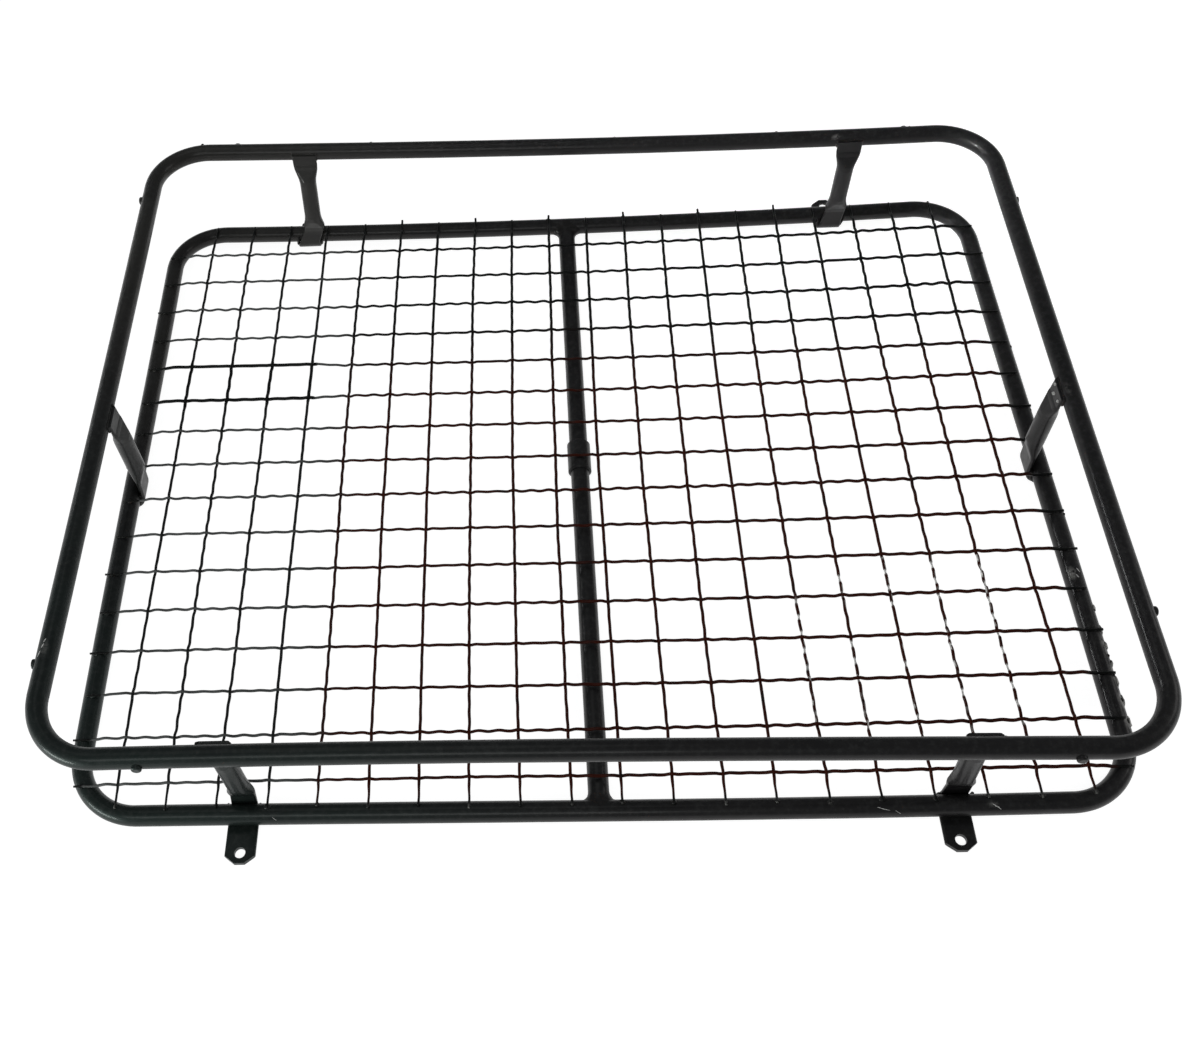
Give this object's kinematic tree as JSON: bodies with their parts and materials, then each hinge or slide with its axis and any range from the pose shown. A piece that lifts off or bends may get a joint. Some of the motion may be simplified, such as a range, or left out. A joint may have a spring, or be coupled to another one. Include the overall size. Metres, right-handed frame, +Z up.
{
  "type": "pickup bed basket",
  "caption": "Open cargo basket of welded round tube: an upper and a lower bent rail loop joined by flattened posts, a woven wire floor, a cross tube, rope pegs and bolt-down tabs.",
  "frame": {"origin": "middle of the plan, on the underside of the mounting tabs", "axes": "+X along the longer side to the right, +Y to the back, +Z up"},
  "size_m": [1.0772, 0.917, 0.1604],
  "materials": {
    "frame_paint": "satin black paint on steel tube, scuffed",
    "wire_paint": "thin black paint on crimped steel wire, rusty in places"
  },
  "bodies": {
    "root": {"upper_rail": "frame_paint", "lower_rail": "frame_paint", "post_front_left": "frame_paint", "post_front_right": "frame_paint", "post_back_left": "frame_paint", "post_back_right": "frame_paint", "post_left_side": "frame_paint", "post_right_side": "frame_paint", "cross_tube_front": "frame_paint", "cross_tube_back": "frame_paint", "cross_tube_sleeve": "frame_paint", "peg_front_left": "frame_paint", "peg_front_right": "frame_paint", "peg_back_left": "frame_paint", "peg_back_right": "frame_paint", "peg_left_front": "frame_paint", "peg_left_back": "frame_paint", "peg_right_front": "frame_paint", "peg_right_back": "frame_paint", "wire_mesh_floor": "wire_paint"}
  },
  "joints": []
}
